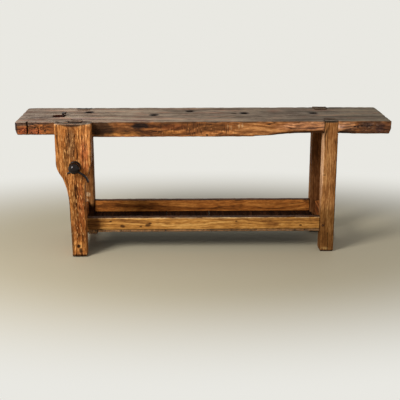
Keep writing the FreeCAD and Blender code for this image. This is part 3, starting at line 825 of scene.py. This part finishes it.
# Tints of the front: across, reach across, up, reach up, shade and strength
front_depth = 0.05
front_tints = [
    # Left end: orange low down, grey at the top and the corner
    (-1.055, 0.035, 0.755, 0.03, (176, 86, 46), 0.85),
    (-0.985, 0.05, 0.748, 0.022, (174, 92, 54), 0.85),
    (-0.92, 0.07, 0.755, 0.04, (188, 112, 52), 0.7),
    (-1.04, 0.11, 0.8, 0.022, (96, 72, 56), 0.95),
    (-0.93, 0.06, 0.802, 0.014, (88, 62, 44), 0.8),
    (-1.093, 0.012, 0.765, 0.06, (58, 40, 32), 0.9),
    (-1, 0.16, 0.727, 0.01, (50, 28, 17), 0.8),
    # Beside the chop: a dark stain under the chop's painted shadow, one black stain, and golden and brown
    # tints
    (-0.61, 0.12, 0.765, 0.06, (58, 35, 17), 0.95),
    (-0.375, 0.075, 0.78, 0.024, (52, 34, 25), 0.95),
    (-0.47, 0.14, 0.735, 0.016, (184, 118, 54), 0.6),
    (-0.45, 0.12, 0.76, 0.03, (120, 74, 38), 0.6),
    # Middle: brown above, paler along the lower edge
    (-0.18, 0.1, 0.772, 0.02, (110, 56, 28), 0.7),
    (-0.2, 0.09, 0.74, 0.016, (196, 124, 58), 0.6),
    (0.02, 0.13, 0.77, 0.03, (106, 66, 33), 0.6),
    (0.1, 0.14, 0.738, 0.014, (196, 124, 66), 0.6),
    (0.3, 0.16, 0.755, 0.05, (168, 108, 58), 0.6),
    # About the right leg: pale above, and painted shade along the wane, which faces down
    (0.62, 0.22, 0.775, 0.03, (214, 146, 98), 0.9),
    (0.6, 0.3, 0.722, 0.02, (64, 38, 20), 0.6),
    (0.838, 0.078, 0.772, 0.032, (230, 160, 106), 1),
    (0.84, 0.07, 0.738, 0.02, (58, 34, 16), 0.9),
    # Right end: dull brown
    (0.98, 0.09, 0.765, 0.06, (116, 76, 50), 0.85),
    (0.95, 0.05, 0.785, 0.02, (92, 68, 50), 0.7),
    (1.06, 0.06, 0.76, 0.05, (104, 66, 46), 0.8),
]
marks(top_timber, [
    ((x, top_front, z), (x_reach, front_depth, z_reach), shade, strength, 0.9)
    for x, x_reach, z, z_reach, shade, strength in front_tints
])
pit_reach = (0.009, 0.02, 0.006)
pit_shade = (30, 17, 11)
front_pits = ((0.885, 0.7725), (0.903, 0.7695), (0.925, 0.777), (-0.995, 0.793), (0.02, 0.725))
marks(top_timber, [((x, top_front, z), pit_reach, pit_shade, 0.95, 0.7, True) for x, z in front_pits])
nick_reach = (0.007, 0.02, 0.016)
nick_shade = (192, 146, 98)
pale_nicks = ((0.14, 0.774), (0.16, 0.768), (0.205, 0.775), (0.225, 0.78))
marks(top_timber, [((x, top_front, z), nick_reach, nick_shade, 0.5, 0.8) for x, z in pale_nicks])
# Worn grey of the upper face, paler at the left partly as painted light from the left
top_greys = [(162, 140, 122), (168, 146, 123), (160, 138, 115), (124, 106, 87), (126, 111, 90)]
grey(top_timber, top_greys, top_low.x, top_high.x)
# Tints of the upper face: across, back, reach across and back, shade and strength
worn_grey = (148, 127, 106)
face_depth = 0.02
face_tints = [
    (-0.95, 0.159, 0.12, 0.04, (84, 66, 54), 0.8),
    (-0.7, 0.105, 0.12, 0.03, (140, 112, 104), 0.7),
    (-0.42, 0.06, 0.16, 0.035, (132, 104, 92), 0.7),
    (-0.75, 0.474, 0.07, 0.012, (40, 28, 20), 0.8),
    (0.15, 0.139, 0.25, 0.08, (118, 98, 78), 0.5),
]
marks(top_timber, [
    ((x, top_front + y, top_face), (x_reach, y_reach, face_depth), shade, strength, 1, False, worn_grey)
    for x, y, x_reach, y_reach, shade, strength in face_tints
])
bores = [mount["pos_m"] for mount in frame["record"]["mounts"] if mount["kind"] == "bore"]
hole_shade_and_dirt = (18, 11, 7)
hole_reach = (0.04, 0.05, 0.3)
gouge_back = top_front + 0.268
# Nearly black inside the holes: painted shade, with dirt on their rims
marks(top_timber, [((x, y, z), hole_reach, hole_shade_and_dirt, 0.97, 0.2, True) for x, y, z in bores])
# A gouge beside the fourth hole
stain(top_timber, (0.19, gouge_back, top_face), (0.026, 0.024, face_depth), (30, 19, 12), 0.9, 0.3, True)
# Regions of small marks: middle, reach each way, marks to the metre, how sparse, shade and strength
tool_marks = [
    # Middle of the front: upright strokes, and bare wood between them
    ((-0.05, top_front, 0.762), (0.3, 0.02, 0.05), (170, 1, 13), 0.59, (46, 26, 13), 0.85),
    ((-0.05, top_front, 0.75), (0.3, 0.02, 0.03), (120, 1, 40), 0.62, (214, 142, 84), 0.6),
    # Left and right ends: chips, dark and pale
    ((-1, top_front, 0.765), (0.14, 0.04, 0.05), (75, 60, 95), 0.55, (42, 21, 12), 0.85),
    ((-1, top_front, 0.755), (0.14, 0.04, 0.04), (66, 50, 150), 0.6, (214, 122, 70), 0.6),
    ((0.97, top_front, 0.765), (0.14, 0.04, 0.05), (60, 50, 100), 0.56, (44, 28, 19), 0.6),
    ((0.97, top_front, 0.775), (0.1, 0.04, 0.03), (50, 50, 130), 0.6, (150, 122, 104), 0.5),
    # Upper face: cuts at the left end, and long scratches all over
    ((-0.98, top_front + 0.17, top_face), (0.16, 0.12, 0.02), (46, 120, 10), 0.56, (44, 32, 26), 0.75),
    ((-0.98, top_front + 0.2, top_face), (0.16, 0.14, 0.02), (40, 150, 10), 0.62, (186, 170, 154), 0.5),
    ((0, top_front + 0.24, top_face), (1.2, 0.3, 0.02), (7, 110, 10), 0.57, (58, 45, 34), 0.6),
    ((0, top_front + 0.24, top_face), (1.2, 0.3, 0.02), (9, 130, 10), 0.6, (182, 162, 138), 0.45),
]
for row in tool_marks:
    scatter(top_timber, *row)
marks(top_timber, [
    # Dirt in the joints of the front legs
    ((leg_middle, top_front + 0.07, top_face), (0.05, 0.013, 0.012), (34, 24, 17), 0.9, 0.2, True),
    ((-0.74, top_front + 0.022, top_face), (0.1, 0.03, 0.02), (38, 27, 20), 0.9, 0.3, True),
])
# A greasy band along the front's upper arris
grease_shade = (62, 38, 22)
grease_cells = 16
grease_edge = (0.35, 0.6)
grease_tilt = (0.85, 0.5)
grease_strength = 0.75
grease_low = top_face - 0.016
grease_high = top_face - 0.004
tree = top_timber.tree
height = add(tree, "SeparateXYZ", {"Vector": top_timber.place}).outputs["Z"]
tilt = mesh_share(tree, "tilt")
greasy = between(speckle(top_timber.place, grease_cells, 3), *grease_edge)
greasy = times(greasy, between(tilt, *grease_tilt))
greasy = times(between(height, grease_low, grease_high), greasy)
top_timber.coat = layer(times(greasy, grease_strength), top_timber.coat, colour(grease_shade))
finish_timber(top_timber, roughness=0.55, shine=0.12)

# Painted shade and black dirt inside the holdfast holes
bore_cells = (240, 240, 60)
bore_shade_and_dirt, tree, shader = new_material("bore_shade_and_dirt")
crumbs = speckle(add(tree, "TexCoord").outputs["Object"], bore_cells, 3)
tree.links.new(layer(crumbs, colour((8, 5, 4)), colour((24, 15, 10))), shader.inputs["Base Color"])
shader.inputs["Roughness"].default_value = 0.95
shader.inputs["Specular IOR Level"].default_value = 0.05

# Two splits in the left end, the gouge, and the worn rims of the holes: points, width and depth
hole_radius = 0.018
rim_width = 0.006
rim_depth = 0.004
rim_sides = 24
left_split = [
    (-1.029, top_front + 0.02, top_face), (-1.031, top_front, top_face),
    (-1.027, top_front, 0.77), (-1.03, top_front, 0.735),
]
small_split = [(-0.966, top_front, 0.775), (-0.963, top_front, 0.755), (-0.965, top_front, 0.735)]
gouge = [(0.183, gouge_back, top_face), (0.197, gouge_back + 0.001, top_face)]
top_cracks = [(left_split, 0.007, 0.02), (small_split, 0.005, 0.012), (gouge, 0.014, 0.01)]
rim_turns = [2 * math.pi * step / rim_sides for step in range(rim_sides + 1)]
for x, y, z in bores:
    rim = [(x + hole_radius * math.cos(a), y + hole_radius * math.sin(a), top_face) for a in rim_turns]
    top_cracks.append((rim, rim_width, rim_depth))
top = weather("bench_top", "bench", "top_timber", top_timber.material, along_x,
              voxel=0.0055, soften=1, sway=0.001, chips=0.002, seed=160, cracks=top_cracks)
top.data.materials.append(bore_shade_and_dirt)
bore_reach = 0.0215
bore_start = top_face - rim_depth
for face in top.data.polygons:
    middle = face.center
    in_bore = any(math.hypot(middle.x - x, middle.y - y) < bore_reach for x, y, z in bores)
    if middle.z < bore_start and in_bore:
        face.material_index = 1


# Leg vise chop
# A broad jaw of coarse hardwood, sawn to an ogee that swings in to a narrow shank. Its top is worn grey and
# dished, and its foot is split and knotty.
chop_depth = 0.03
chop_low, chop_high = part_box("vise_chop")
chop_front = chop_low.y
chop_timber = start_timber(
    "chop_timber", along_z, start=(0.1, 0.5, 0.77), pith=(0, 0.62, 0.02), ring=0.016, wave=0.1,
    pale=(232, 164, 94), brown=(176, 107, 51), dark=(66, 33, 13), figure=(0.36, 0.46, 0.75, 0.3),
)
# Tints of the front: across, up, reach across and up, shade and strength
chop_tints = [
    (-0.77, 0.7, 0.032, 0.12, (122, 80, 46), 0.85),
    (-0.695, 0.62, 0.03, 0.12, (178, 92, 48), 0.6),
    (-0.802, 0.6, 0.02, 0.09, (122, 78, 36), 0.6),
    (-0.683, 0.71, 0.036, 0.12, (226, 146, 80), 0.6),
    (-0.764, 0.384, 0.024, 0.08, (122, 80, 38), 0.6),
    (-0.762, 0.27, 0.022, 0.1, (118, 74, 34), 0.6),
    (-0.722, 0.34, 0.022, 0.14, (186, 104, 56), 0.6),
    (-0.748, 0.2, 0.05, 0.05, (160, 86, 38), 0.5),
    (-0.745, 0.26, 0.07, 0.22, (162, 95, 43), 0.6),
    (-0.745, 0.07, 0.06, 0.045, (226, 150, 76), 0.7),
    # The right side, away from the light, darkened as painted shade
    (chop_high.x, 0.68, 0.012, 0.22, (160, 90, 42), 0.7),
]
marks(chop_timber, [
    ((x, chop_front, z), (x_reach, chop_depth, z_reach), shade, strength, 0.8)
    for x, z, x_reach, z_reach, shade, strength in chop_tints
])
# Short coarse flecks all over the front, dark and pale
fleck_middle = (-0.75, chop_front, 0.4)
fleck_reach = (0.14, 0.06, 0.6)
scatter(chop_timber, fleck_middle, fleck_reach, (130, 60, 36), 0.58, (86, 44, 17), 0.55)
scatter(chop_timber, fleck_middle, fleck_reach, (120, 60, 30), 0.6, (240, 178, 110), 0.55)
grey(chop_timber, [(158, 128, 100), (140, 116, 92)], chop_low.x, chop_high.x)
corner_inset = 0.012
corner_reach = (0.02, 0.02, 0.012)
corner_shade = (216, 150, 88)
shank_arris_shadow = (84, 50, 24)
marks(chop_timber, [
    # Dirt along the jaw's line and in the dished top
    ((-0.755, chop_high.y, chop_high.z), (0.3, 0.046, 0.03), (30, 21, 15), 0.9, 0.2, True),
    ((-0.76, chop_front, 0.804), (0.085, 0.016, 0.018), (40, 27, 19), 0.9, 0.4, True),
    # Upper corners, rubbed pale
    ((chop_low.x + corner_inset, chop_front, 0.803), corner_reach, corner_shade, 0.7, 0.6),
    ((chop_high.x - corner_inset, chop_front, 0.803), corner_reach, corner_shade, 0.7, 0.6),
    # Dark arrises of the shank, right and left, as painted shade
    ((-0.692, chop_front, 0.14), (0.01, 0.05, 0.24), shank_arris_shadow, 0.85, 0.4),
    ((-0.781, chop_front, 0.1), (0.01, 0.05, 0.13), shank_arris_shadow, 0.8, 0.4),
    ((-0.794, chop_front, 0.26), (0.011, 0.05, 0.14), shank_arris_shadow, 0.8, 0.4),
    # Foot: a knot, a split and dirt
    ((-0.7456, chop_front, 0.068), (0.014, 0.02, 0.015), (26, 15, 9), 0.95, 0.9, True),
    ((-0.735, chop_front, 0.0406), (0.009, 0.02, 0.022), (34, 19, 10), 0.9, 0.9, True),
    ((-0.745, chop_front, 0), (0.14, 0.14, 0.022), (40, 23, 12), 0.9, 0.9),
])
finish_timber(chop_timber, roughness=0.45, shine=0.05)
weather("vise_chop", "jaw", "chop_timber", chop_timber.material, along_z,
        voxel=0.0033, soften=3, sway=0.0016, chips=0.003, seed=200)


# Vise screw
# One forging: a ball in front, pierced for the lever, a collar, and a long shaft with a square thread behind.
vise_iron = start_iron("vise_iron", black=(24, 13, 10), brown=(44, 25, 16), roughness=0.1, bare=0.6)
head_voxel = 0.0018
thread_lead = 0.008
thread_depth = 0.0026
thread_sides = 40
thread_steps = 9
thread_runout = 0.006
crest_height = 1.6
crest_slope = 5.2
shaft_radius = 0.016
screw_low, screw_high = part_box("vise_screw")
axis_x = (screw_low.x + screw_high.x) / 2
axis_z = (screw_low.z + screw_high.z) / 2
shaft_start = chop_high.y
head = even_copy("vise_screw_head", "vise_screw", head_voxel)
cut = bmesh.new()
cut.from_mesh(head.data)
bmesh.ops.bisect_plane(cut, geom=cut.verts[:] + cut.edges[:] + cut.faces[:], plane_co=(0, shaft_start, 0),
                       plane_no=(0, 1, 0), clear_outer=True)
bmesh.ops.holes_fill(cut, edges=[e for e in cut.edges if e.is_boundary])
cut.to_mesh(head.data)
cut.free()
head.data.shade_smooth()
dress(head, vise_iron, "screw", "forged_iron", "vise_screw")

shaft = bmesh.new()
turns = (screw_high.y - shaft_start) / thread_lead
rows = []
for step in range(int(turns * thread_steps) + 1):
    y = shaft_start + step * thread_lead / thread_steps
    taper = min((screw_high.y - y) / thread_runout, 1)
    row = []
    for side in range(thread_sides):
        angle = 2 * math.pi * side / thread_sides
        phase = (step / thread_steps - side / thread_sides) % 1
        crest = min(max(crest_height - abs(phase - 0.5) * crest_slope, 0), 1)
        radius = shaft_radius - thread_depth * (1 - crest * taper)
        row.append(shaft.verts.new((axis_x + radius * math.sin(angle), y, axis_z + radius * math.cos(angle))))
    rows.append(row)
for row, after in zip(rows, rows[1:]):
    for side in range(thread_sides):
        beside = (side + 1) % thread_sides
        shaft.faces.new((row[side], row[beside], after[beside], after[side]))
shaft.faces.new(rows[0][::-1])
shaft.faces.new(rows[-1])
bmesh.ops.recalc_face_normals(shaft, faces=shaft.faces)
shaft_mesh = bpy.data.meshes.new("vise_screw_thread")
shaft.to_mesh(shaft_mesh)
shaft.free()
shaft_mesh.shade_smooth()
thread = new_object("vise_screw_thread", shaft_mesh)
dress(thread, vise_iron, "screw", "forged_iron", "vise_screw")


# Vise handle
# A sickle-shaped lever forged from eight-sided bar and driven through the ball of the screw.
weather("vise_handle", "screw", "forged_iron", vise_iron, along_x,
        voxel=0.0015, soften=3, sway=0.0003, chips=0.0004, seed=230)


# Washer, keeper and nut
# A forged washer under the screw's collar, a ring pinned to the screw behind the chop so that the jaw
# follows it out, and a flanged nut held to the back of the leg by four square-headed screws. All behind the
# chop are rusty.
fittings = (
    ("vise_washer", "jaw", 0.0015, vise_iron),
    ("vise_nut", "bench", 0.002, rusty_iron),
)
for node, body, voxel, iron in fittings:
    weather(node, body, "forged_iron", iron, along_x,
            voxel=voxel, soften=2, sway=0.0003, chips=0.0006, seed=240)
for node in ("keeper_ring", "keeper_pin", "nut_screws"):
    show_node(node, rusty_iron)


# Parallel guide
# A flat bar pegged into the chop's foot that slides through the leg, with a whittled pin in one of its holes.
guide_timber = start_timber(
    "guide_timber", along_y, start=(0.2, 0.6, 0.1), pith=(0, 0.05, 0.2), ring=0.01, wave=0.04,
    pale=(190, 128, 70), brown=(140, 86, 42), dark=(70, 38, 18),
)
finish_timber(guide_timber, roughness=0.45)
weather("parallel_guide", "jaw", "chop_timber", guide_timber.material, along_y,
        voxel=0.0026, soften=2, sway=0.0006, chips=0.002, seed=250)
weather("guide_pin", "pin", "peg_timber", peg_timber.material, along_x,
        voxel=0.0014, soften=2, sway=0.0003, chips=0.0005, seed=260)
weather("guide_tenon_peg", "jaw", "peg_timber", peg_timber.material, along_x,
        voxel=0.0014, soften=1, sway=0.0003, chips=0.0005, seed=270)


# Planing stop
# A square block of dark red hardwood, tapped up and down through the plank, with a toothed iron claw.
stop_timber = start_timber(
    "stop_timber", along_z, start=(0.2, 0.1, 0.4), pith=(0, 0.03, 0.85), ring=0.008, wave=0.03,
    pale=(74, 32, 26), brown=(50, 20, 17), dark=(24, 10, 9),
)
finish_timber(stop_timber, roughness=0.75, shine=0)
weather("planing_stop", "stop", "stop_timber", stop_timber.material, along_z,
        voxel=0.0026, soften=3, sway=0.001, chips=0.004, seed=280)
weather("planing_stop_claw", "stop", "forged_iron", rusty_iron, along_x,
        voxel=0.0012, soften=1, sway=0.0003, chips=0.0006, seed=290)


# Room
# A plain pale floor that fades into a pale backdrop, one broad soft light from the left front, a faint one
# from the right and an even sky all round.
floor_reach = 80.0
floor_shade = (192, 180, 152)
backdrop_shade = (233, 232, 226)
sky_shade = (236, 240, 244)
sky_strength = 0.4
pool_reach = (2.6, 1.5, 1)
pool_fade = (0.45, 1.3)


def seen_rays(tree):
    """1 for what the camera sees, also in metal and through glass, and 0 for the light on the object."""
    rays = add(tree, "LightPath").outputs
    seen = sums("MAXIMUM", rays["Is Camera Ray"], rays["Is Glossy Ray"])
    return sums("MAXIMUM", seen, rays["Is Transmission Ray"])


floor_mesh = bpy.data.meshes.new("floor")
corners = [(-1, -1), (1, -1), (1, 1), (-1, 1)]
floor_mesh.from_pydata([(x * floor_reach, y * floor_reach, 0) for x, y in corners], [], [(0, 1, 2, 3)])
floor = new_object("floor", floor_mesh)
floor_paint, tree, painted = new_material("floor_paint")
painted.inputs["Base Color"].default_value = colour(floor_shade)
painted.inputs["Roughness"].default_value = 0.75
place = add(tree, "TexCoord").outputs["Object"]
pool = vectors("LENGTH", vectors("DIVIDE", place, pool_reach))
faded = times(between(pool, *pool_fade), seen_rays(tree))
pale = add(tree, "Emission", {"Color": colour(backdrop_shade)})
both = add(tree, "MixShader", {0: faded, 1: painted.outputs[0], 2: pale.outputs[0]})
tree.links.new(both.outputs[0], tree.nodes["Material Output"].inputs["Surface"])
floor_mesh.materials.append(floor_paint)


def soft_light(name, place, aim, size, power):
    """A square soft light that points at the bench."""
    lamp = bpy.data.lights.new(name, "AREA")
    lamp.size = size
    lamp.energy = power
    light = new_object(name, lamp)
    light.location = place
    light.rotation_euler = (Vector(aim) - Vector(place)).to_track_quat("-Z", "Y").to_euler()


bench_middle = (0, 0, 0.4)
soft_light("key_light", (-3.4, -3.2, 3.2), bench_middle, size=1.8, power=235)
soft_light("fill_light", (3.4, -3, 2.2), bench_middle, size=2.5, power=5)

world = bpy.data.worlds.new("studio")
bpy.context.scene.world = world
world.use_nodes = True
tree = world.node_tree
tree.nodes.clear()
lit = add(tree, "Background", {"Color": colour(sky_shade), "Strength": sky_strength})
seen = add(tree, "Background", {"Color": colour(backdrop_shade)})
both = add(tree, "MixShader", {0: seen_rays(tree), 1: lit.outputs[0], 2: seen.outputs[0]})
add(tree, "OutputWorld", {"Surface": both.outputs[0]})


# Camera
# It stands where the photograph was taken from, in front of the bench and a little above it. Its angles
# are in degrees, and its film and lens in millimetres.
camera_place = (-0.11155, -5.11293, 1.75359)
camera_down = 16.053
camera_right = 1.0312
film_width = 36
lens_length = 77.482
camera = new_object("camera", bpy.data.cameras.new("camera"))
camera.location = camera_place
camera.rotation_euler = (math.radians(90 - camera_down), 0, math.radians(-camera_right))
camera.data.sensor_width = film_width
camera.data.lens = lens_length
bpy.context.scene.camera = camera
bpy.context.scene.view_settings.view_transform = "Standard"
